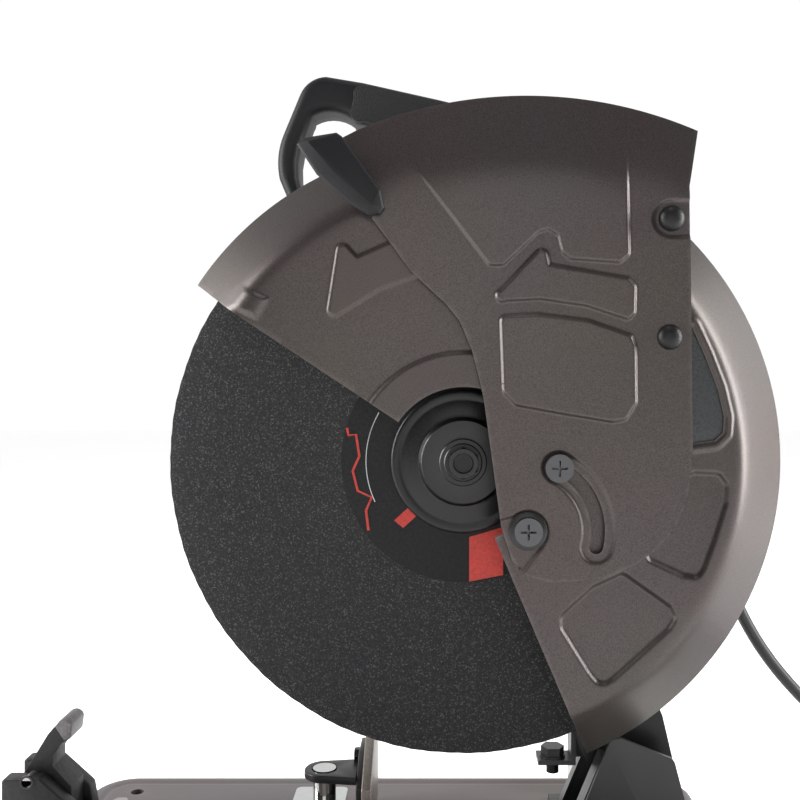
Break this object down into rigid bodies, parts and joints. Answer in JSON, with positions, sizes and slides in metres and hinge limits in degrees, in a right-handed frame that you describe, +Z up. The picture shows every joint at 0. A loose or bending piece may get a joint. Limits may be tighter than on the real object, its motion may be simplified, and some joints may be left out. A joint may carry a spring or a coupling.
{
  "type": "abrasive chop saw",
  "caption": "Bench chop saw with a large abrasive wheel on a sprung arm, stepped guards, D-handle, screw vise and pressed base.",
  "frame": {"origin": "centre of the four bench bolt holes, on the bench surface under the feet", "axes": "+X towards the hinge end, +Y towards the motor, +Z up"},
  "size_m": [0.8775, 0.375, 0.546],
  "materials": {
    "guard_paint": "satin",
    "base_paint": "satin",
    "black_paint": "satin",
    "cast_black": "matt",
    "steel": "brushed",
    "dark_steel": "blackened",
    "chrome": "polished",
    "abrasive": "coarse grain",
    "label": "matt paper",
    "black_plastic": "moulded",
    "rubber": "matt",
    "copper": "wound",
    "cord_rubber": "matt"
  },
  "bodies": {
    "root": {"base_pan": "base_paint", "rubber_feet": "rubber", "rear_bracket": "black_paint", "arm_pivot_pin": "steel", "return_spring": "steel", "fence": "steel", "base_bolts": "steel", "vise_nut_block": "cast_black", "lever_pin": "steel", "cord": "cord_rubber", "cord_coil": "cord_rubber", "plug": "cord_rubber"},
    "head": {"arm": "cast_black", "gear_case": "cast_black", "gear_cover": "cast_black", "motor_housing": "black_plastic", "motor_end_cap": "black_plastic", "motor_screws": "steel", "field_core": "copper", "brushes": "dark_steel", "brush_caps": "black_plastic", "armature_bearings": "steel", "spindle_bearings": "steel", "fixed_guard": "guard_paint", "guard_back": "guard_paint", "guard_screws": "steel", "guard_window": "black_plastic", "guard_pivot_screws": "dark_steel", "handle_left": "black_plastic", "handle_right": "black_plastic", "handle_screws": "steel", "grip_insert": "rubber", "switch": "black_plastic", "trigger_pin": "steel", "cord_gland": "rubber", "depth_stop_tab": "black_paint", "depth_stop_bolts": "dark_steel"},
    "wheel_spindle": {"spindle": "steel", "spindle_gear": "steel", "inner_flange": "dark_steel", "abrasive_wheel": "abrasive", "wheel_label": "label", "outer_flange": "dark_steel", "flange_washer": "dark_steel", "wheel_bolt": "dark_steel"},
    "armature": {"armature_shaft": "steel", "armature_core": "copper", "commutator": "copper", "cooling_fan": "black_plastic"},
    "lower_guard": {"movable_guard": "guard_paint", "thumb_tab": "black_plastic", "guard_bumpers": "rubber"},
    "trigger": {"trigger": "black_plastic"},
    "spindle_lock": {"spindle_lock": "dark_steel"},
    "nut_lever": {"nut_lever": "cast_black"},
    "vise_carriage": {"jaw_carrier": "chrome"},
    "vise_jaw": {"vise_jaw": "steel"},
    "vise_screw": {"vise_screw": "steel", "vise_crank": "steel"},
    "crank_knob": {"crank_knob": "black_plastic"}
  },
  "joints": [
    {"name": "head_pitch", "type": "hinge", "parent": "root", "child": "head", "pos_m": [0.167, 0.046, 0.077], "axis": [0, -1, 0], "range_deg": [0, 29], "stiffness_Nm_per_rad": 16, "springref_deg": -97.4},
    {"name": "wheel_spin", "type": "hinge", "parent": "head", "child": "wheel_spindle", "pos_m": [0.049, 0.01, 0.299], "axis": [0, 1, 0], "continuous": true},
    {"name": "armature_spin", "type": "hinge", "parent": "head", "child": "armature", "pos_m": [0.07096, 0.14, 0.34503], "axis": [0, 1, 0], "continuous": true},
    {"name": "guard_swing", "type": "hinge", "parent": "head", "child": "lower_guard", "pos_m": [0.0853, -0.028, 0.2621], "axis": [0, 1, 0], "range_deg": [-75, 0]},
    {"name": "trigger_pull", "type": "hinge", "parent": "head", "child": "trigger", "pos_m": [0.041, 0.065, 0.508], "axis": [0, 1, 0], "range_deg": [0, 7], "stiffness_Nm_per_rad": 0.6, "springref_deg": -17.19},
    {"name": "lock_press", "type": "slide", "parent": "head", "child": "spindle_lock", "axis": [0, -1, 0], "range_m": [0, 0.004], "stiffness_N_per_m": 500, "springref_m": -0.006},
    {"name": "nut_lever_lift", "type": "hinge", "parent": "root", "child": "nut_lever", "pos_m": [-0.225, 0.053, 0.0947], "axis": [0, -1, 0], "range_deg": [0, 55]},
    {"name": "vise_travel", "type": "slide", "parent": "root", "child": "vise_carriage", "axis": [-1, 0, 0], "range_m": [-0.1, 0.02]},
    {"name": "vise_turn", "type": "hinge", "parent": "vise_carriage", "child": "vise_screw", "pos_m": [-0.251, 0.053, 0.066], "axis": [1, 0, 0], "range_deg": [-9000.2, 1800.2]},
    {"name": "knob_spin", "type": "hinge", "parent": "vise_screw", "child": "crank_knob", "pos_m": [-0.401, 0.053, 0.106], "axis": [1, 0, 0], "continuous": true},
    {"name": "jaw_swivel", "type": "hinge", "parent": "vise_carriage", "child": "vise_jaw", "pos_m": [-0.04, 0.053, 0.09], "axis": [0, 0, 1], "range_deg": [0, 45]}
  ],
  "couplings": [
    {"joint": "armature_spin", "follows": "wheel_spin", "ratio": -4.6667},
    {"joint": "vise_turn", "follows": "vise_travel", "rad_per_m": 1570.8}
  ]
}
